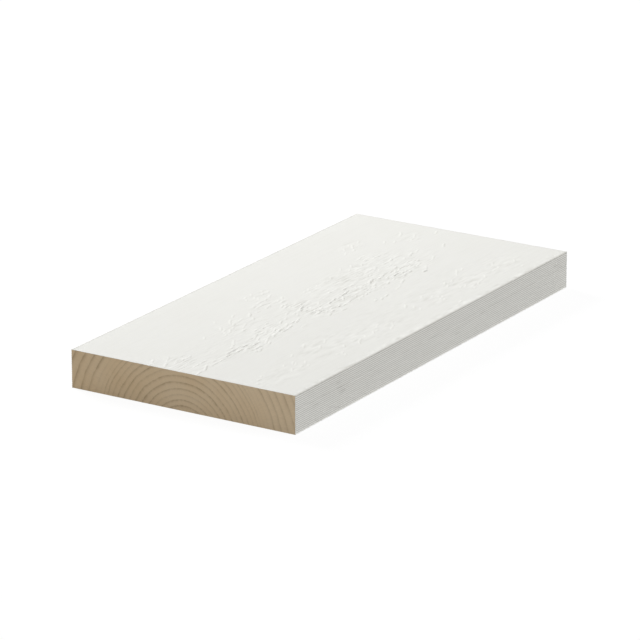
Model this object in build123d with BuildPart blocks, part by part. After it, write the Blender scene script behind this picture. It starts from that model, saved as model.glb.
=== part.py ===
"""Exterior cladding board: one length of softwood run to a rectangular section with finely ribbed long edges.

Frame, in millimetres: +X along the grain, +Y across the width, +Z from the back face up to the painted face.
The origin is the middle of the back face, which lies against the battens.
"""

import os

from build123d import *

# The stock: nominal section and cut length
LENGTH = 300.0
WIDTH = 145.0  # over the crests of the ribbed edges
THICKNESS = 22.0

# The four long arrises, only just eased
ARRIS_RADIUS = 0.3

# The fine ribs that the cutter leaves along both long edges
RIB_PITCH = 1.14
GROOVE_WIDTH = 0.8  # at the mouth; what is left of the pitch is the flat crest
GROOVE_DEPTH = 0.4

# As many grooves as fit on an edge between its two arrises
edge_flat = THICKNESS - 2 * ARRIS_RADIUS
groove_count = int((edge_flat - GROOVE_WIDTH) / RIB_PITCH) + 1

with BuildPart() as cladding_board:
    with BuildSketch(Plane.YZ.offset(-LENGTH / 2)) as section:
        Rectangle(WIDTH, THICKNESS, align=(Align.CENTER, Align.MIN))
        fillet(section.vertices(), ARRIS_RADIUS)
        # A diamond centred on the edge line leaves its inner half as a V groove, on either edge
        with Locations((0, THICKNESS / 2)):
            with GridLocations(WIDTH, RIB_PITCH, 2, groove_count):
                Polygon(
                    (-GROOVE_DEPTH, 0),
                    (0, -GROOVE_WIDTH / 2),
                    (GROOVE_DEPTH, 0),
                    (0, GROOVE_WIDTH / 2),
                    mode=Mode.SUBTRACT,
                )
    extrude(amount=LENGTH)

cladding_board.part.label = "cladding_board"

os.makedirs("parts", exist_ok=True)
export_step(cladding_board.part, "parts/cladding_board.step")
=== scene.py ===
import math

import bmesh
import bpy
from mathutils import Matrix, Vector, noise


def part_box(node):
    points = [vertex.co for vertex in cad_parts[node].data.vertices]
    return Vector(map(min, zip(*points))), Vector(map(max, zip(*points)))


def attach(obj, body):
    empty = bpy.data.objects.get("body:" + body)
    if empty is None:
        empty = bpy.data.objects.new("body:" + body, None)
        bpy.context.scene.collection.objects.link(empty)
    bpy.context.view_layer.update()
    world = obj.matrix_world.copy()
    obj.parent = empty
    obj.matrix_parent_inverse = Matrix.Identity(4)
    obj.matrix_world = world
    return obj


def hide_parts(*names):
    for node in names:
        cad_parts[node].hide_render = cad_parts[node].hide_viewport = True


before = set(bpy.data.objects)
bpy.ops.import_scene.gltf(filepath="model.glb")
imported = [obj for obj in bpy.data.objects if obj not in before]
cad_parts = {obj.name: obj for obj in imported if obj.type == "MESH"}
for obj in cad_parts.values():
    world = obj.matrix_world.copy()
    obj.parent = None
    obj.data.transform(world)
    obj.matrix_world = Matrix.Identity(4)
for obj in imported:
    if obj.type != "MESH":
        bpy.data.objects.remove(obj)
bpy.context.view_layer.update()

# The board: one length of spruce, sawn flat-grained with the pith just below its back.
# The long arrises are only just eased, and a toothed cutter has left both long edges finely ribbed.
# The fine-sawn face carries torn and lifted grain, which the paint rounds over and doesn't hide.
MM = 0.001
ARRIS_RADIUS = 0.3
RIB_PITCH = 1.14
RIB_DEPTH = 0.4
FACE_ROWS = 258
EDGE_ROWS = 40
STATIONS = 265

board_low, board_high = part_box("cladding_board")
board_size = board_high - board_low
board_middle = (board_low + board_high) / 2
half_length = board_size.x / 2 / MM
half_width = board_size.y / 2 / MM
thickness = board_size.z / MM

board_mesh = bmesh.new()
bmesh.ops.create_cube(board_mesh, size=1)
bmesh.ops.scale(board_mesh, vec=board_size, verts=board_mesh.verts)
bmesh.ops.translate(board_mesh, vec=board_middle, verts=board_mesh.verts)


def spans(edge, axis):
    """True for an edge that runs along that axis for nearly all of the board's size."""
    return abs(edge.verts[0].co[axis] - edge.verts[1].co[axis]) > 0.9 * board_size[axis]


bmesh.ops.bevel(
    board_mesh,
    geom=[edge for edge in board_mesh.edges if spans(edge, 0)],
    offset=ARRIS_RADIUS * MM,
    offset_type="OFFSET",
    segments=3,
    profile=0.5,
    affect="EDGES",
    material=-1,
)


def cut_rows(edges, rows):
    """Divides the faces beside those edges into that many rows."""
    bmesh.ops.subdivide_edges(
        board_mesh, edges=edges, cuts=rows - 1, use_grid_fill=True, use_only_quads=True
    )


# Rows across the face, two rows to each rib of the edges, then stations along the grain
face_ends = [
    edge
    for edge in board_mesh.edges
    if spans(edge, 1) and min(vert.co.z for vert in edge.verts) > board_middle.z
]
cut_rows(face_ends, FACE_ROWS)
cut_rows([edge for edge in board_mesh.edges if spans(edge, 2)], EDGE_ROWS)
cut_rows([edge for edge in board_mesh.edges if spans(edge, 0)], STATIONS)

# Where the saw tore the grain: each line's start and end along and across the board, and how far its lip is
# lifted, all in millimetres. A line that starts past the near end is a tear that runs out of the board.
TORN_LINES = [
    # The long split along the middle
    (-156, -9.0, -139, -8.2, 0.42), (-141, -8.6, -131, -4.2, 0.50), (-133, -7.7, -124, -7.3, 0.34),
    (-126, -7.2, -115.5, -6.7, 0.40), (-126.5, -3.9, -120.5, -3.5, 0.24), (-116.5, -5.9, -109.5, -5.1, 0.48),
    (-110.5, -4.1, -105.5, -3.0, 0.50), (-105.5, -3.6, -99, -3.2, 0.44), (-106, -6.8, -97.5, -6.0, 0.50),
    (-98, -7.0, -94.5, -8.4, 0.36), (-97.5, -4.7, -91, -4.5, 0.34), (-91.5, -7.4, -82, -7.6, 0.32),
    (-85, -12.4, -76, -8.0, 0.40), (-76, -8.2, -71.5, -6.6, 0.30), (-73, -9.3, -65.5, -7.6, 0.36),
    (-67, -5.4, -60, -3.2, 0.40), (-64.5, -7.2, -55.5, -5.4, 0.52), (-63.5, -9.2, -55, -9.0, 0.34),
    (-56, -9.0, -49.5, -7.4, 0.42), (-55, -6.4, -48.5, -3.6, 0.34), (-47.5, -5.2, -41.5, -4.8, 0.26),
    (-45.5, -6.9, -41, -5.8, 0.42), (-42.5, -6.4, -35.5, -4.0, 0.30),
    # The near end
    (-156, 21.8, -145, 21.6, 0.30), (-145, 22.5, -139.5, 25.5, 0.36), (-145, 14.5, -140.5, 15.5, 0.34),
    (-149, 13, -144, 13.5, 0.20), (-139.5, 17, -136, 19, 0.22), (-136, 18.5, -131.5, 20.5, 0.20),
    (-140, 11, -135.5, 12, 0.22), (-133, 11, -129.5, 12, 0.22), (-130, 10.5, -126.5, 11.5, 0.24),
    (-127, 10.5, -123, 12, 0.34), (-148, 9.5, -137, 9.5, 0.16),
    (-144, 5.2, -130, 5.8, 0.18), (-156, 1.6, -140, 2.4, 0.14), (-140, -0.5, -132.5, 0.2, 0.24),
    (-132.5, -0.2, -124, 0.6, 0.28), (-102.5, -0.4, -98, 0.6, 0.24), (-98.5, 0.6, -93.5, 2.2, 0.30),
    (-95.5, 2.2, -88, 6.6, 0.20), (-97, 20.5, -92, 23, 0.22), (-96.5, -12.5, -88, -12.5, 0.50),
    (-100, -12.2, -97, -11.2, 0.26), (-100, -15.6, -96.5, -14.0, 0.26), (-97.5, -16.2, -91, -14.0, 0.28),
    (-85, -14.4, -80.5, -12.8, 0.45), (-84, -5.6, -77.5, -3.4, 0.30), (-83, -2.6, -77.5, -1.2, 0.28),
    (-78, -1.3, -72.5, 0.6, 0.40), (-71, -1.0, -68.5, -0.6, 0.26), (-68.5, -1.2, -65, -0.6, 0.28),
    (-71, 4.6, -64.5, 5.2, 0.24), (-64.5, 2.8, -61, 4.0, 0.30), (-62.5, -1.6, -59, -0.6, 0.26),
    (-56.5, 5.6, -52.5, 6.4, 0.30), (-51.5, -0.6, -46.5, 1.4, 0.36), (-44.5, 0.6, -40, 2.4, 0.24),
    (-51, -14.2, -44, -13.8, 0.20),
    (-79, 21, -74, 24, 0.34), (-80.5, 18.5, -76, 20, 0.22), (-83, 16, -79, 17.5, 0.22),
    (-78, 16, -74, 18, 0.22), (-85, 14, -81, 15.5, 0.20), (-81.5, 14.5, -76, 16, 0.22),
    (-73, 17.5, -69, 18.5, 0.24), (-68, 20, -64, 22, 0.28), (-67, 22.5, -63, 25, 0.24),
    (-64, 24.5, -59, 27.5, 0.22), (-73.5, 10, -69, 11, 0.26), (-69, 13, -65, 14.5, 0.22),
    (-65, 14.5, -60.5, 16, 0.24), (-61, 21.5, -53, 22.5, 0.18), (-57, 28, -51, 31, 0.20),
    (-54, 16, -49.5, 18.5, 0.22), (-71, 30, -67, 32.5, 0.16),
    # Round the knot in the middle
    (-50, 20.5, -44.5, 23.5, 0.40), (-42, 21, -37, 22, 0.28), (-33, 20.5, -29.5, 21.5, 0.24),
    (-30, 20.5, -26, 22.5, 0.28), (-37, 25.5, -24, 26, 0.24), (-36, 27.5, -31.5, 29, 0.28),
    (-29, 29.2, -20.5, 30, 0.32), (-21.5, 28.5, -17, 30.5, 0.22), (-16, 30, -9, 32, 0.22),
    (-13.5, 22, -9, 24.5, 0.26), (-19, 22, -14.5, 23, 0.18), (-20, 18.8, -13, 19.2, 0.28),
    (-27, 14.5, -21.5, 15.8, 0.40), (-22.5, 14.5, -18, 15.8, 0.32), (-28, 12, -21, 13, 0.30),
    (-27, 37.5, -23.5, 39.5, 0.20), (-21.5, 35.5, -18, 37.5, 0.18), (-21.5, 33, -18.5, 35, 0.18),
    (-13, 36, -9.5, 38, 0.18), (-9, 38.5, -5.5, 40.5, 0.18), (-8, 35.5, -4, 37.5, 0.16),
    (-25.5, 40, -20.5, 42, 0.18), (-18, 40.5, -14.5, 42.5, 0.18),
    (-25, 10, -21, 11, 0.24), (-17.5, 7.4, -13.5, 8.8, 0.40), (-37, 5, -32, 6.5, 0.26),
    (-23, 4.2, -16, 5.8, 0.45), (-33, 1.6, -29.5, 3.0, 0.32), (-34.5, -1.2, -31, 0.4, 0.32),
    (-26.5, 1.8, -23.5, 2.8, 0.42), (-25, -0.8, -22, 0.4, 0.34), (-21, 1.6, -17.5, 3.0, 0.34),
    (-20, -1.2, -16.5, 0.4, 0.30), (-27, -5.4, -23, -4.2, 0.48), (-22.5, -5.0, -18.5, -3.8, 0.32),
    (-17, -6.6, -13.5, -5.0, 0.40), (-15.5, -3.6, -11.5, -2.0, 0.30), (-11, -0.8, -6, 2.2, 0.24),
    (-29.5, -9.0, -24, -8.4, 0.26), (-25, -8.6, -19.5, -7.8, 0.36), (-20.5, -8.4, -16.5, -7.4, 0.36),
    (-14, -7.8, -8, -7.2, 0.24), (-20.5, -11.4, -17, -10.2, 0.28), (-18, -13.6, -13, -13.2, 0.46),
    (-25, -16.4, -19.5, -14.2, 0.46), (-14, -10.6, -10.5, -9.4, 0.26), (-9.5, -12.2, -4.5, -11.4, 0.40),
    (-14, -17.5, -7.5, -17, 0.32),
    # Past the middle
    (-7, -5.0, -2, -4.0, 0.55), (-1, -3.6, 4, -2.4, 0.48), (4, -3.8, 8, -2.8, 0.26),
    (8.5, -3.4, 15, -2.4, 0.34), (13.5, -2.6, 20, -1.4, 0.42), (18, 1.2, 24, 2.4, 0.45),
    (3, -8.4, 9.5, -4.4, 0.34), (-6, -13.2, 3, -12.6, 0.20), (1, -12.8, 6, -12.0, 0.26),
    (26, -2.4, 29, -1.2, 0.28), (27.5, -5.4, 31, -4.4, 0.32), (31, -5.6, 34.5, -4.4, 0.42),
    (12, -11.2, 15, -9.8, 0.30), (18, -14.2, 22, -12.6, 0.48), (21.5, -13.8, 25.5, -12.6, 0.32),
    (24, -10.8, 27.5, -9.4, 0.30), (28, -9.8, 31.5, -8.6, 0.34), (31, -12.2, 35, -10.8, 0.26),
    (34.5, -10.2, 38, -8.8, 0.28), (9, -15.8, 12, -14.2, 0.30), (13.5, -14.8, 17, -13.4, 0.28),
    (8, 5, 19, 5.5, 0.18), (26, 1.4, 34, 1.8, 0.24), (36.5, -6.0, 42, -2.2, 0.60),
    (42, -3.4, 46, -2.2, 0.34), (43, -5.0, 46, -3.8, 0.30), (42, -14.2, 47, -12.2, 0.46),
    (34, -16.2, 37, -15.0, 0.26), (46.5, 2.2, 50.5, 3.6, 0.34), (49.5, 1.8, 53, 3.0, 0.22),
    (11, -24.5, 14.5, -24, 0.36), (15, -26, 19.5, -24.5, 0.38), (21, -25, 27, -24, 0.36),
    (47, -21.0, 55, -17.4, 0.36), (34, -24, 46, -21.5, 0.12), (2, 17, 7, 19, 0.12),
    (7, 18, 11.5, 20, 0.14), (4, 14.5, 8, 16.5, 0.14), (16, 17.5, 20, 19.5, 0.14),
    (24.5, 17.5, 29, 19.5, 0.14), (32, 18, 37, 21, 0.14),
    # Towards the far end
    (46.5, -5.4, 53, -4.2, 0.28), (51.5, -4.2, 57, -2.8, 0.48), (50, -9.4, 54, -7.6, 0.42),
    (55, -9.3, 64.5, -8.8, 0.60), (63.5, -11.2, 67, -10.2, 0.46), (67.5, -11.2, 71, -9.8, 0.32),
    (68.5, -14.0, 72, -12.4, 0.30), (50, -13.2, 54, -12.2, 0.34), (60, -14.2, 66, -12.8, 0.30),
    (70, -2.4, 74, -0.8, 0.36), (63, -6.2, 67, -5.0, 0.32), (67.5, -6.2, 71, -5.0, 0.28),
    (60, -4.4, 66, -4.0, 0.24), (62, 6.4, 66, 8.0, 0.30), (60.5, 2.8, 64, 4.4, 0.22),
    (80, 7.0, 85.5, 8.4, 0.40), (51, 7, 63, 7.5, 0.16), (71, 7, 79, 7.5, 0.16),
    (85.5, 8, 93, 8, 0.16), (67, 2, 79, 3.5, 0.14), (87, 1.5, 91, 3, 0.16),
    (77, -8, 85, -7, 0.20), (79, -12.0, 88, -9.4, 0.30), (77, -3.5, 89, -2.5, 0.14),
    (72, -20.2, 78, -19.8, 0.60), (78.5, -18.4, 81.5, -17.2, 0.36), (81, -16.4, 85, -15.0, 0.18),
    (89, -6.8, 92, -5.4, 0.42), (94.5, 2.0, 98, 3.2, 0.44), (98, 3.0, 101.5, 4.4, 0.40),
    (103, 3, 110, 4.5, 0.20), (95, -13, 103, -9.5, 0.22), (120, -6, 127, -2.5, 0.28),
    (48.5, 21.5, 53, 24, 0.18), (50.5, 17, 55, 19, 0.16), (53.5, 14, 57.5, 15.5, 0.18),
    (57, 19.5, 62, 22, 0.18), (63, 16, 68, 18.5, 0.16), (69, 24, 84, 25.5, 0.24),
    (72, 19.5, 77, 21, 0.20), (78, 17.5, 88, 18, 0.28), (75.5, 35, 81, 37, 0.22),
    (84.5, 34.5, 89, 37, 0.18), (88.5, 37.5, 93, 40, 0.20), (91.5, 40, 95.5, 42, 0.20),
    (82.5, 39.5, 87, 42, 0.16), (91, 42.5, 95, 44, 0.16), (100, 41, 104.5, 43.5, 0.16),
    (107.5, 27.5, 112.5, 30, 0.22), (111, 22.5, 116, 25, 0.18), (124.5, 26.5, 129, 29, 0.20),
    (127.5, 27.5, 132.5, 31, 0.22), (121, 16.5, 126, 18.5, 0.18), (125, 17, 129.5, 19.5, 0.20),
    (128.5, 19, 133.5, 22, 0.20), (140, 12, 146, 13.5, 0.24),
    # Along the near side
    (-140, -42, -135, -41.5, 0.30), (-134, -40.5, -131, -39, 0.24), (-144.5, -45.5, -141, -44, 0.26),
    (-113, -41.5, -109, -39.5, 0.22), (-107, -43.5, -101.5, -41, 0.24), (-108, -46.5, -102, -43.5, 0.16),
    (-118, -50, -111, -46.5, 0.18), (-108.5, -50, -104.5, -48.5, 0.20), (-102, -48.5, -97, -45.5, 0.20),
    (-105, -52.5, -101, -51, 0.20), (-97, -36.5, -91.5, -34, 0.20), (-81, -34.5, -73, -30, 0.20),
    (-76, -41.5, -71, -39.5, 0.28), (-67, -39.5, -64, -38, 0.18), (-64.5, -38, -61, -36.5, 0.20),
    (-67.5, -52, -63.5, -50, 0.36), (-81, -56, -77.5, -54.5, 0.18), (-77.5, -57, -73.5, -55.5, 0.22),
    (-80, -60, -75.5, -58.5, 0.18), (-58.5, -56.5, -53, -53.5, 0.28), (-54, -54, -49, -52, 0.24),
    (-47, -53.5, -43.5, -51.5, 0.34), (-39.5, -54, -34.5, -51.5, 0.22), (-35, -53.5, -31, -52, 0.18),
    (-29.5, -50, -21.5, -46.5, 0.14), (-28, -58.5, -23, -56.5, 0.24), (-23.5, -57, -19.5, -55, 0.18),
    (-20, -54.5, -16, -52.5, 0.18), (9, -45.5, 15.5, -42, 0.32), (11.5, -50, 16, -47.5, 0.18),
    (9.5, -55, 15.5, -52, 0.16), (29.5, -44, 34.5, -42, 0.22), (34, -48.5, 38, -47, 0.18),
    (35.5, -52, 39, -50, 0.20), (36.5, -54, 40.5, -52, 0.20), (32, -55.5, 36, -53.5, 0.20),
    (32.5, -57.5, 37, -55.5, 0.18), (33.5, -66.5, 39, -65, 0.24), (58.5, -43, 62.5, -41, 0.36),
    (55, -46.5, 60, -44, 0.24), (63.5, -44, 69, -41.5, 0.18), (75.5, -41, 88, -33.5, 0.16),
    (86.5, -37.5, 91, -35.5, 0.18), (57.5, -53.5, 61, -52, 0.18), (60, -55.5, 66, -52.5, 0.18),
    (62, -57.5, 71, -56.5, 0.18), (68, -59, 73, -57, 0.28), (60.5, -61, 64.5, -59.5, 0.24),
    (71, -57.5, 81, -56, 0.18), (81, -56.5, 87, -52.5, 0.20), (87, -53, 95, -52.5, 0.14),
    (94, -53.5, 101, -52.5, 0.18), (100.5, -53.5, 105, -52, 0.28), (103.5, -49, 110, -44.5, 0.20),
    (117, -55.5, 121.5, -53, 0.22), (110, -64, 115, -62.5, 0.20),
]

# Patches where fibres are lifted all over: middle along and across, half sizes, and height
LIFTED_PATCHES = [
    (-138, 12, 15, 14, 0.14),
    (-100, -6, 54, 6, 0.06),
    (-95, -10, 12, 9, 0.12),
    (-69, 18, 21, 12, 0.07),
    (-68, -2, 20, 8, 0.12),
    (-24, 26, 18, 9, 0.10),
    (-22, 5, 14, 14, 0.10),
    (-16, -10, 18, 10, 0.13),
    (8, -8, 18, 9, 0.13),
    (34, -8, 18, 9, 0.14),
    (64, -9, 18, 9, 0.17),
    (84, -10, 12, 9, 0.14),
    (45, 12, 60, 13, 0.08),
    (82, 19, 14, 6, 0.10),
    (-16, 39, 15, 9, 0.07),
    (92, 41, 15, 9, 0.07),
    (127, 22, 11, 10, 0.08),
    (-125, -48, 27, 12, 0.07),
    (-70, -42, 27, 14, 0.07),
    (-35, -53, 25, 10, 0.07),
    (35, -51, 15, 10, 0.07),
    (70, -50, 23, 13, 0.07),
    (108, -52, 21, 13, 0.07),
    (0, -71, 170, 4, 0.20),
    (-75, 2, 90, 22, 0.06),
    (45, 0, 80, 22, 0.08),
    (0, -46, 165, 24, 0.04),
]

# Each kind of unevenness: how much, its features' length and width in millimetres, and its layer of the noise
LONG_WANDER = (0.6, 4.5, 1, 21.5)
SHORT_WANDER = (0.25, 2.2, 1, 22.5)
LIP_BREAKS = (0.4, 3.5, 1, 23.5)
PATCH_GAPS = (0.9, 11, 5, 31.5)
LONG_FIBRES = (1, 7, 0.75, 32.5)
SHORT_FIBRES = (0.6, 4, 0.6, 33.5)
CREST_WEAR = (0.03, 6, 1.3, 41.5)
DEEP_WEAR = (0.1, 9, 1, 42.5)
CREST_TONE = (0.2, 5, 1, 43.5)
GROOVE_TONE = (0.2, 16, 1, 44.5)
DEEP_TONE = (0.6, 9, 1, 45.5)


def uneven(kind, x, y):
    """Smooth noise of that kind, at a place on one of the long faces."""
    amount, length, width, layer = kind
    return amount * noise.noise(Vector((x / length, y / width, layer)))


# A torn line's lip: its width, how far it leans over the torn-down side, what brings its top up to the line's
# whole lift, its mean height before it breaks, and the share of the line at each end where it fades
LIP_WIDTH = 0.55
LIP_LEAN = 0.3
LIP_TOP = 1.59
LIP_MEAN = 1.05
LIP_FADE = 0.25
# No torn line shows further off than this
TEAR_REACH = 2.5


def torn_edge(off, lift):
    """Section across a torn line: the far side stands up as a lip and the near side is torn down."""
    share = off / LIP_WIDTH
    return lift * LIP_TOP * (share + LIP_LEAN) * math.exp(-share * share)


# Lifted fibres: how far from the middle they would be twice as coarse, how full a patch is towards its rim,
# and the height at which they are fuzzy all over
TWICE_AS_COARSE = 120
PATCH_FULLNESS = 0.6
FULL_FUZZ = 0.2


def lifted_grain(x, y, lines):
    """How far the torn grain stands above the sawn face in millimetres, and how fuzzy it is there."""
    height = 0
    fuzz = 0
    for x0, y0, x1, y1, lift in lines:
        along = (x - x0) / (x1 - x0)
        slope = (y1 - y0) / (x1 - x0)
        wander = uneven(LONG_WANDER, x, y0) + uneven(SHORT_WANDER, x, y0)
        off = (y - y0 - slope * (x - x0) - wander) / math.hypot(1, slope)
        if abs(off) < TEAR_REACH:
            taper = min(1, along / LIP_FADE, (1 - along) / LIP_FADE)
            broken = LIP_MEAN + uneven(LIP_BREAKS, x, y0)
            height += torn_edge(off, lift * taper * broken)
    coarse = 1 + abs(y) / TWICE_AS_COARSE
    fibres = uneven(LONG_FIBRES, x, y / coarse) + uneven(SHORT_FIBRES, x, y / coarse)
    cover = 1 + uneven(PATCH_GAPS, x, y)
    for x0, y0, half_x, half_y, lift in LIFTED_PATCHES:
        inside = 1 - ((x - x0) / half_x) ** 2 - ((y - y0) / half_y) ** 2
        if inside > 0:
            share = inside * (1 + PATCH_FULLNESS * (1 - inside)) * cover
            height += lift * share * fibres
            fuzz = max(fuzz, share * lift / FULL_FUZZ)
    return height, fuzz


# Flecks on the near edge: middle along and up the board, and half sizes
EDGE_FLECKS = [
    (-129, 10.9, 4.0, 0.8),
    (-106, 16.6, 3.0, 1.2),
    (-104, 13.4, 5.0, 0.8),
    (-102, 10.4, 4.5, 1.6),
    (-106.5, 2.8, 2.5, 0.7),
    (22, 8.0, 3.5, 0.7),
    (51, 12.4, 4.5, 0.8),
    (137, 17.0, 4.0, 0.8),
    (142, 14.8, 4.0, 0.8),
]
# The face is sunk by up to the most lift, so that lifted grain stays within the full thickness. It slopes
# down from a narrow flat along each long edge, and from the ends
MOST_LIFT = 0.3
EDGE_FLAT = 1.5
SLOPE_FROM_EDGE = 30
SLOPE_FROM_END = 8
# The spacing of the face's rows at its middle, as a share of even spacing
MIDDLE_SPACING = 0.55
# The groove that one tooth of the cutter cut too deep, counted in rows up from mid-thickness
DEEP_ROW = 4
DEEP_EXTRA = 0.1
# How far the ribs' crests are worn down, and how far the last rows keep from the arrises
CREST_LOSS = 0.03
LAST_ROW_INSET = 0.02
# The range of the painted tone, from the deepest painted shade to the brightest painted light, and the rise
# of grain that is painted fully lit
DEEPEST_PAINTED_SHADE = -3.0
BRIGHTEST_PAINTED_LIGHT = 1.0
FULLY_LIT_RISE = 0.17
# Painted shade in the face's hollows, thin paint on the arrises, painted light on the crests, painted shade
# in the grooves and the deep groove, painted light on the lower ribs, and dark flecks
HOLLOW_PAINTED_SHADE = -1.2
ARRIS_COAT = -1.0
CREST_PAINTED_LIGHT = 1.0
GROOVE_PAINTED_SHADE = -2.2
DEEP_GROOVE_PAINTED_SHADE = -2.3
LOW_RIB_PAINTED_LIGHT = 0.35
FLECK_COAT = 0.6
# Each row of the edges reads its noise this far from the next row's
ROWS_APART = 3.7
# A point this near to a face's plane lies on that face, and one this far past an arris is clear of it
ON_PLANE = 0.001
CLEAR_OF_ARRIS = 0.1
inside_arris = ARRIS_RADIUS + CLEAR_OF_ARRIS
edge_row = (thickness - 2 * ARRIS_RADIUS) / EDGE_ROWS
last_row = thickness / 2 - ARRIS_RADIUS - LAST_ROW_INSET
coat_and_shading = board_mesh.verts.layers.float.new("coat_and_shading")
fuzzy = board_mesh.verts.layers.float.new("fuzzy")
lines_at = {}
for vert in board_mesh.verts:
    x, y, z = (value / MM for value in vert.co)
    from_edge = half_width - abs(y)
    if z > thickness - ON_PLANE and from_edge > inside_arris:
        # Rows lie closer together over the middle of the face, where the grain is torn
        across = y / half_width
        y = half_width * across * (MIDDLE_SPACING + (1 - MIDDLE_SPACING) * across * across)
        from_edge = half_width - abs(y)
        from_end = half_length - abs(x)
        station = round(x, 2)
        if station not in lines_at:
            lines_at[station] = [line for line in TORN_LINES if line[0] <= x <= line[2]]
        calm = min(1, max(0, (from_edge - EDGE_FLAT) / SLOPE_FROM_EDGE), from_end / SLOPE_FROM_END)
        sunk = MOST_LIFT * calm * calm * (3 - 2 * calm)
        rise, vert[fuzzy] = lifted_grain(x, y, lines_at[station])
        vert.co.y = y * MM
        vert.co.z = (thickness + min(0, rise - sunk)) * MM
        # Lifted grain is painted lighter, as a painted highlight, and its hollows darker, as painted shade
        vert[coat_and_shading] = max(HOLLOW_PAINTED_SHADE, min(BRIGHTEST_PAINTED_LIGHT, rise / FULLY_LIT_RISE))
    elif from_edge < ON_PLANE and inside_arris < z < thickness - inside_arris:
        # Even rows are the bottoms of the grooves and odd rows the crests of the ribs between them
        row = round((z - thickness / 2) / edge_row)
        z = thickness / 2 + max(-last_row, min(last_row, row * RIB_PITCH / 2))
        depth = CREST_LOSS + uneven(CREST_WEAR, x, z)
        # The crests are painted light and the grooves painted shade, in place of the shading of the ribs'
        # slopes
        vert[coat_and_shading] = CREST_PAINTED_LIGHT + uneven(CREST_TONE, x, row * ROWS_APART)
        if row % 2 == 0:
            depth = RIB_DEPTH
            vert[coat_and_shading] = GROOVE_PAINTED_SHADE + uneven(GROOVE_TONE, x, row * ROWS_APART)
        # The deep groove shows as a broken line along the near edge, painted with deeper shade
        if y < 0 and row == DEEP_ROW:
            depth += DEEP_EXTRA + uneven(DEEP_WEAR, x, 0)
            vert[coat_and_shading] = DEEP_GROOVE_PAINTED_SHADE + uneven(DEEP_TONE, x, 0)
        # The lower ribs are painted lighter, as painted light against the shade low on the edge, and a few
        # flecks of torn grain show dark
        vert[coat_and_shading] += LOW_RIB_PAINTED_LIGHT * (0.5 - z / thickness)
        for fleck_x, fleck_z, half_x, half_z in EDGE_FLECKS:
            inside = 1 - ((x - fleck_x) / half_x) ** 2 - ((z - fleck_z) / half_z) ** 2
            if y < 0 and inside > 0:
                vert[coat_and_shading] -= FLECK_COAT * inside
        vert.co.y = math.copysign(half_width - depth, y) * MM
        vert.co.z = z * MM
    elif z > thickness / 2:
        # The paint draws back from the sharp arrises and lies thin there
        vert[coat_and_shading] = ARRIS_COAT


def is_sawn_end(normal):
    """True for the normal of a sawn end, which looks along the board."""
    return abs(normal.x) > 0.9


# The paint rounds over all the long faces, and the sawn ends stay flat
for face in board_mesh.faces:
    face.smooth = not is_sawn_end(face.normal)

board_data = bpy.data.meshes.new("cladding_board_dressed")
board_mesh.to_mesh(board_data)
board_mesh.free()
board = bpy.data.objects.new("board", board_data)
bpy.context.scene.collection.objects.link(board)
PAINT_SLOT = 0
END_SLOT = 1
for polygon in board_data.polygons:
    polygon.material_index = END_SLOT if is_sawn_end(polygon.normal) else PAINT_SLOT

# The paint: two factory coats of matt white, sprayed on and brushed out along the grain on the long faces.
# It is a little uneven in tone and sheen, and the sawn fibres show through as fine lines along the board.
white_paint = bpy.data.materials.new("white_paint")
white_paint.use_nodes = True
paint_shader = white_paint.node_tree.nodes["Principled BSDF"]


def add_node(material, kind, inputs=None, **settings):
    """A shader node with its settings made and its inputs linked or filled."""
    made = material.node_tree.nodes.new(kind)
    for name, value in settings.items():
        setattr(made, name, value)
    for socket, value in (inputs or {}).items():
        if isinstance(value, bpy.types.NodeSocket):
            material.node_tree.links.new(value, made.inputs[socket])
        else:
            made.inputs[socket].default_value = value
    return made


def add_ramp(material, value, steps):
    """A colour for each value, from a list of places and colours."""
    ramp = add_node(material, "ShaderNodeValToRGB", {"Fac": value})
    stops = ramp.color_ramp.elements
    while len(stops) < len(steps):
        stops.new(1.0)
    for stop, (place, colour) in zip(stops, steps):
        stop.position = place
        stop.color = (*colour, 1)
    return ramp.outputs["Color"]


def multiplied(material, first, second):
    """One colour multiplied by another."""
    mixed = add_node(
        material, "ShaderNodeMix", {0: 1.0, 6: first, 7: second}, data_type="RGBA", blend_type="MULTIPLY"
    )
    return mixed.outputs[2]


paint_place = add_node(white_paint, "ShaderNodeTexCoord").outputs["Object"]


def paint_noise(scale, detail, roughness):
    """Noise over the painted faces, with its scale along, across and up the board in features per metre."""
    place = add_node(white_paint, "ShaderNodeMapping", {"Vector": paint_place, "Scale": scale})
    made = add_node(
        white_paint,
        "ShaderNodeTexNoise",
        {"Vector": place.outputs["Vector"], "Scale": 1.0, "Detail": detail, "Roughness": roughness},
    )
    return made.outputs["Fac"]


fibre = paint_noise((45, 1300, 1300), 4.0, 0.6)
cloud = paint_noise((30, 30, 30), 3.0, 0.55)
orange_peel = paint_noise((800, 800, 800), 2.0, 0.5)
lifted_fuzz = paint_noise((500, 1100, 1100), 2.0, 0.6)
tone = add_ramp(white_paint, cloud, [(0.3, (0.915, 0.912, 0.872)), (0.7, (0.925, 0.923, 0.886))])
fibre_tone = add_ramp(white_paint, fibre, [(0.25, (0.975, 0.973, 0.968)), (0.55, (1, 1, 1))])
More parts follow.
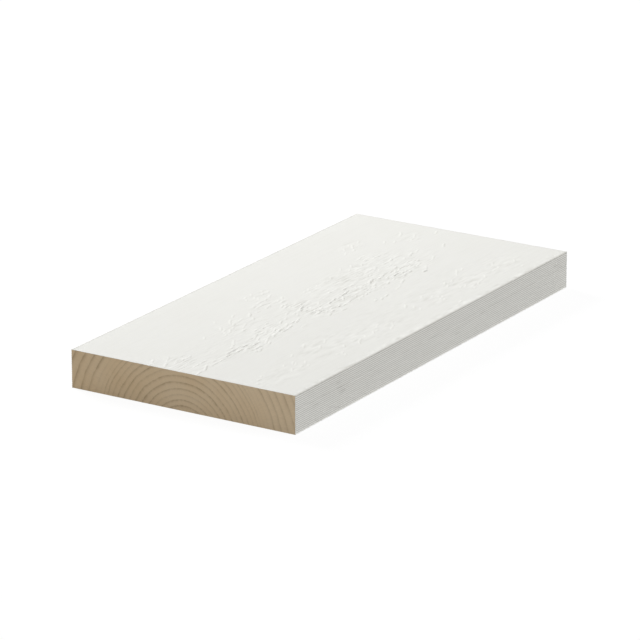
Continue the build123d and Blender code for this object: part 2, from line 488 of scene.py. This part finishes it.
# Lifted grain and the ribs' crests are painted light, and the hollows and grooves painted shade. The thin
# paint on the arrises and the flecks of torn grain are darker too
coat_and_shading_value = add_node(white_paint, "ShaderNodeAttribute", attribute_name="coat_and_shading").outputs["Fac"]
coat_and_shading_place = add_node(
    white_paint,
    "ShaderNodeMapRange",
    {"Value": coat_and_shading_value, "From Min": DEEPEST_PAINTED_SHADE, "From Max": BRIGHTEST_PAINTED_LIGHT},
).outputs["Result"]
coat_and_shading_tone = add_ramp(
    white_paint,
    coat_and_shading_place,
    [
        (0.0, (0.41, 0.405, 0.39)),
        (0.25, (0.585, 0.58, 0.565)),
        (0.5, (0.76, 0.755, 0.74)),
        (0.75, (0.90, 0.90, 0.90)),
        (1.0, (1, 1, 1)),
    ],
)
paint_colour = multiplied(white_paint, multiplied(white_paint, tone, fibre_tone), coat_and_shading_tone)
sheen_spread = add_node(
    white_paint,
    "ShaderNodeMapRange",
    {"Value": cloud, "From Min": 0.3, "From Max": 0.7, "To Min": 0.78, "To Max": 0.88},
)
fuzz_share = add_node(white_paint, "ShaderNodeAttribute", attribute_name="fuzzy").outputs["Fac"]
fuzz_height = add_node(white_paint, "ShaderNodeMath", {0: lifted_fuzz, 1: fuzz_share}, operation="MULTIPLY")
fibre_bump = add_node(
    white_paint, "ShaderNodeBump", {"Height": fibre, "Strength": 0.5, "Distance": 0.12 * MM}
)
fuzz_bump = add_node(
    white_paint,
    "ShaderNodeBump",
    {
        "Height": fuzz_height.outputs["Value"],
        "Strength": 0.6,
        "Distance": 0.25 * MM,
        "Normal": fibre_bump.outputs["Normal"],
    },
)
peel_bump = add_node(
    white_paint,
    "ShaderNodeBump",
    {"Height": orange_peel, "Strength": 0.25, "Distance": 0.08 * MM, "Normal": fuzz_bump.outputs["Normal"]},
)
white_paint.node_tree.links.new(paint_colour, paint_shader.inputs["Base Color"])
white_paint.node_tree.links.new(sheen_spread.outputs["Result"], paint_shader.inputs["Roughness"])
white_paint.node_tree.links.new(peel_bump.outputs["Normal"], paint_shader.inputs["Normal"])
paint_shader.inputs["Specular IOR Level"].default_value = 0.1

# The ends: bare spruce, cross-cut after painting, with year rings bowed round a pith below the back.
# Each ring runs from pale spring wood to a thin brown line of summer wood, crossed by fine rays.
PITH_Y = -2.0
PITH_Z = -15.0
bare_end = bpy.data.materials.new("bare_end_grain")
bare_end.use_nodes = True
end_shader = bare_end.node_tree.nodes["Principled BSDF"]
end_place = add_node(bare_end, "ShaderNodeTexCoord").outputs["Object"]
from_pith = add_node(
    bare_end,
    "ShaderNodeMapping",
    {"Vector": end_place, "Location": (0, -PITH_Y, -PITH_Z), "Scale": (1 / MM, 1 / MM, 1 / MM)},
).outputs["Vector"]
pith_parts = add_node(bare_end, "ShaderNodeSeparateXYZ", {"Vector": from_pith})


def end_maths(operation, first, second=None, third=None):
    """One sum on the end grain's values."""
    values = {}
    for index, value in enumerate((first, second, third)):
        if value is not None:
            values[index] = value
    return add_node(bare_end, "ShaderNodeMath", values, operation=operation).outputs["Value"]


def end_range(value, low, high, to_low, to_high):
    """A value moved from one range to another, and kept inside it."""
    moved = add_node(
        bare_end,
        "ShaderNodeMapRange",
        {"Value": value, "From Min": low, "From Max": high, "To Min": to_low, "To Max": to_high},
    )
    return moved.outputs["Result"]


def end_noise(place, scale, detail, roughness=0.5):
    """Noise over the end grain, with its scale in features per millimetre."""
    made = add_node(
        bare_end,
        "ShaderNodeTexNoise",
        {"Vector": place, "Scale": scale, "Detail": detail, "Roughness": roughness},
    )
    return made.outputs["Fac"]


flat_place = add_node(
    bare_end, "ShaderNodeCombineXYZ", {"Y": pith_parts.outputs["Y"], "Z": pith_parts.outputs["Z"]}
).outputs["Vector"]
radius = add_node(bare_end, "ShaderNodeVectorMath", {0: flat_place}, operation="LENGTH").outputs["Value"]
angle = end_maths("ARCTAN2", pith_parts.outputs["Y"], pith_parts.outputs["Z"])
# Rings are wider on the +Y side of the tree, by this share for each millimetre
LOPSIDED = 0.00074
lopsided = end_maths("MULTIPLY_ADD", pith_parts.outputs["Y"], -LOPSIDED, 1.0)
wavy_radius = end_maths("MULTIPLY", radius, lopsided)
# No ring is quite round: the waves' features per millimetre, their detail, and their height in millimetres
RING_WAVES = [(0.11, 1.0, 0.9), (0.55, 2.0, 0.7)]
for scale, detail, height in RING_WAVES:
    wavy_radius = end_maths("MULTIPLY_ADD", end_noise(from_pith, scale, detail), height, wavy_radius)
    wavy_radius = end_maths("SUBTRACT", wavy_radius, height / 2)


def end_curve(value, points, reach, low, high):
    """A smooth curve through (value, result) points: values from 0 to reach, results from low to high."""
    curve = add_node(bare_end, "ShaderNodeFloatCurve", {"Value": end_maths("DIVIDE", value, reach)})
    line = curve.mapping.curves[0]
    line.points[0].location = (0, (points[0][1] - low) / (high - low))
    line.points[1].location = (1, (points[-1][1] - low) / (high - low))
    for place, result in points[1:-1]:
        line.points.new(place / reach, (result - low) / (high - low))
    for point in line.points:
        point.handle_type = "AUTO_CLAMPED"
    curve.mapping.update()
    return end_maths("MULTIPLY_ADD", curve.outputs["Value"], high - low, low)


# Rings grown by each distance from the pith: wide when young, narrow for a few dry years, wide again
GROWTH = [
    (0, 5.7),
    (18.15, 11),
    (27.6, 14),
    (35, 16),
    (48.2, 20),
    (51.1, 21),
    (55.5, 23),
    (58.3, 24),
    (66.5, 26),
    (80, 28.8),
]
ring_count = end_curve(wavy_radius, GROWTH, GROWTH[-1][0], GROWTH[0][1], GROWTH[-1][1])
ring_share = end_maths("FRACT", ring_count)
ring_year = end_maths("ROUND", ring_count)

# How dark the summer wood of each ring is, from the tenth ring on: strong and lean years in turn
FIRST_YEAR = 10.0
YEARS = [
    0.8, 0.75, 0.65, 0.35, 0.65, 0.75, 0.6, 0.35, 0.75, 0.6,
    0.35, 0.5, 0.35, 0.15, 0.15, 0.6, 0.6, 0.6, 0.6, 0.6, 0.5,
]
shown_year = end_maths("SUBTRACT", ring_count, FIRST_YEAR)
year_strength = end_curve(shown_year, list(enumerate(YEARS)), len(YEARS) - 1, 0.0, 1.0)
# Each line comes and goes along its ring, this often in a radian, and no two rings alike
PATCHES_PER_RADIAN = 14.0
YEARS_APART = 5.3
year_place = add_node(
    bare_end,
    "ShaderNodeCombineXYZ",
    {
        "X": end_maths("MULTIPLY", angle, PATCHES_PER_RADIAN),
        "Y": end_maths("MULTIPLY", ring_year, YEARS_APART),
    },
).outputs["Vector"]
year_patch = end_range(end_noise(year_place, 1.0, 1.5), 0.3, 0.7, 0.45, 1.15)
# All the lines are fainter towards the near edge
year_side = end_range(pith_parts.outputs["Y"], -70.0, 70.0, 0.68, 1.05)
summer_wood = add_ramp(
    bare_end,
    ring_share,
    [
        (0.0, (0.85, 0.85, 0.85)),
        (0.10, (0.12, 0.12, 0.12)),
        (0.35, (0.0, 0.0, 0.0)),
        (0.62, (0.06, 0.06, 0.06)),
        (0.86, (0.5, 0.5, 0.5)),
        (1.0, (1.0, 1.0, 1.0)),
    ],
)
summer_share = end_maths("MULTIPLY", summer_wood, year_strength)
summer_share = end_maths("MULTIPLY", summer_share, year_patch)
summer_share = end_maths("MULTIPLY", summer_share, year_side)

# Rays run out from the pith, so they are drawn on the angle round it, and they are long and narrow
RAYS_PER_RADIAN = 90.0
RAYS_PER_MM = 0.22
ray_place = add_node(
    bare_end,
    "ShaderNodeCombineXYZ",
    {
        "X": end_maths("MULTIPLY", angle, RAYS_PER_RADIAN),
        "Y": end_maths("MULTIPLY", radius, RAYS_PER_MM),
    },
).outputs["Vector"]
rays = end_noise(ray_place, 1.0, 2.0, 0.6)
pores = end_noise(from_pith, 2.6, 2.0, 0.7)
stain = end_noise(from_pith, 0.05, 2.0)
# The wood is paler towards the near edge, by this share for each millimetre
PALER_BY = 0.004
sap_share = end_maths("MULTIPLY_ADD", pith_parts.outputs["Y"], -PALER_BY, stain)
spring_tone = add_ramp(bare_end, sap_share, [(0.2, (0.688, 0.524, 0.330)), (0.8, (0.728, 0.578, 0.390))])
ring_colour = add_node(
    bare_end,
    "ShaderNodeMix",
    {0: summer_share, 6: spring_tone, 7: (0.300, 0.210, 0.118, 1)},
    data_type="RGBA",
).outputs[2]
ray_tone = add_ramp(bare_end, rays, [(0.3, (0.94, 0.94, 0.94)), (0.7, (1, 1, 1))])
pore_tone = add_ramp(bare_end, pores, [(0.3, (0.92, 0.92, 0.92)), (0.55, (1, 1, 1))])
end_colour = multiplied(bare_end, multiplied(bare_end, ring_colour, ray_tone), pore_tone)
end_rough = end_range(summer_share, 0.0, 1.0, 0.85, 0.68)
ring_bump = add_node(
    bare_end, "ShaderNodeBump", {"Height": summer_share, "Strength": 0.3, "Distance": 0.1 * MM}
)
pore_bump = add_node(
    bare_end,
    "ShaderNodeBump",
    {"Height": pores, "Strength": 0.4, "Distance": 0.1 * MM, "Normal": ring_bump.outputs["Normal"]},
)
bare_end.node_tree.links.new(end_colour, end_shader.inputs["Base Color"])
bare_end.node_tree.links.new(end_rough, end_shader.inputs["Roughness"])
bare_end.node_tree.links.new(pore_bump.outputs["Normal"], end_shader.inputs["Normal"])
end_shader.inputs["Specular IOR Level"].default_value = 0.2

board_data.materials.append(white_paint)
board_data.materials.append(bare_end)
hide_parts("cladding_board")
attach(board, "root")

# The floor: a wide sheet of matt pale paper under the board, which runs out of the picture on all sides.
# It shows as plain white and still takes the board's soft shadow.
FLOOR_HALF_SIZE = 4
FLOOR_DROP = 0.2 * MM
PAPER_GLOW = 1.14
PAPER_GLOW_SHARE = 0.82
floor_mesh = bmesh.new()
bmesh.ops.create_grid(floor_mesh, x_segments=1, y_segments=1, size=FLOOR_HALF_SIZE)
floor_data = bpy.data.meshes.new("floor")
floor_mesh.to_mesh(floor_data)
floor_mesh.free()
floor = bpy.data.objects.new("floor", floor_data)
bpy.context.scene.collection.objects.link(floor)
floor.location.z = -FLOOR_DROP
white_paper = bpy.data.materials.new("white_paper")
white_paper.use_nodes = True
paper_shader = white_paper.node_tree.nodes["Principled BSDF"]
paper_shader.inputs["Base Color"].default_value = (0.45, 0.45, 0.45, 1)
paper_shader.inputs["Roughness"].default_value = 0.9
paper_shader.inputs["Specular IOR Level"].default_value = 0.0


def seen_directly(material):
    """1 for what the camera sees, also in a mirror or through glass, and 0 for the light on other things."""
    rays = add_node(material, "ShaderNodeLightPath")
    seen = add_node(
        material,
        "ShaderNodeMath",
        {0: rays.outputs["Is Camera Ray"], 1: rays.outputs["Is Glossy Ray"]},
        operation="MAXIMUM",
    )
    seen = add_node(
        material,
        "ShaderNodeMath",
        {0: seen.outputs["Value"], 1: rays.outputs["Is Transmission Ray"]},
        operation="MAXIMUM",
    )
    return seen.outputs["Value"]


paper_glow = add_node(white_paper, "ShaderNodeEmission", {"Color": (1, 1, 1, 1), "Strength": PAPER_GLOW})
paper_seen = add_node(
    white_paper,
    "ShaderNodeMath",
    {0: seen_directly(white_paper), 1: PAPER_GLOW_SHARE},
    operation="MULTIPLY",
)
paper_mix = add_node(
    white_paper,
    "ShaderNodeMixShader",
    {0: paper_seen.outputs["Value"], 1: paper_shader.outputs["BSDF"], 2: paper_glow.outputs["Emission"]},
)
white_paper.node_tree.links.new(
    paper_mix.outputs["Shader"], white_paper.node_tree.nodes["Material Output"].inputs["Surface"]
)
floor_data.materials.append(white_paper)

# The light: an even white surround, and a soft lamp behind the board that rakes across its face.
# Two wider and softer lamps fill the near edge and the near end.
surround = bpy.data.worlds.new("surround")
bpy.context.scene.world = surround
surround.use_nodes = True
surround_light = surround.node_tree.nodes["Background"]
surround_light.inputs["Color"].default_value = (1.0, 1.0, 1.0, 1)
surround_light.inputs["Strength"].default_value = 0.32
surround_white = add_node(surround, "ShaderNodeBackground", {"Color": (1, 1, 1, 1), "Strength": 1.0})
surround_mix = add_node(
    surround,
    "ShaderNodeMixShader",
    {
        0: seen_directly(surround),
        1: surround_light.outputs["Background"],
        2: surround_white.outputs["Background"],
    },
)
surround.node_tree.links.new(
    surround_mix.outputs["Shader"], surround.node_tree.nodes["World Output"].inputs["Surface"]
)

# Each lamp's name, size in metres, power in watts and place
LAMPS = [
    ("back_lamp", 0.5, 21.6, (0.34, 1.305, 0.945)),
    ("front_lamp", 1.2, 13.3, (0.5, -1.55, 0.95)),
    ("end_lamp", 1.0, 17, (-2.1, -1.3, 0.8)),
]
for name, size, power, place in LAMPS:
    lamp_data = bpy.data.lights.new(name, "AREA")
    lamp_data.shape = "SQUARE"
    lamp_data.size = size
    lamp_data.energy = power
    lamp = bpy.data.objects.new(name, lamp_data)
    bpy.context.scene.collection.objects.link(lamp)
    lamp.location = place
    lamp.rotation_euler = lamp.location.to_track_quat("Z", "Y").to_euler()

# The camera: a long lens a good way off, in front of the near left corner and a little above the board.
# It looks at a point close to the board's middle, and its distance sets how much the far end narrows.
LOOK_AT = Vector((0, 0.005286, 0.008443))
CAMERA_DISTANCE = 2.418535
camera_data = bpy.data.cameras.new("camera")
camera_data.sensor_width = 36
camera_data.lens = 239.1
camera_data.clip_end = 20
camera = bpy.data.objects.new("camera", camera_data)
bpy.context.scene.collection.objects.link(camera)
camera_turn = math.radians(-58.168)
camera_rise = math.radians(18.398)
toward_camera = Vector(
    (
        math.sin(camera_turn) * math.cos(camera_rise),
        -math.cos(camera_turn) * math.cos(camera_rise),
        math.sin(camera_rise),
    )
)
camera.location = LOOK_AT + toward_camera * CAMERA_DISTANCE
camera.rotation_euler = toward_camera.to_track_quat("Z", "Y").to_euler()
bpy.context.scene.camera = camera
bpy.context.scene.view_settings.view_transform = "Standard"
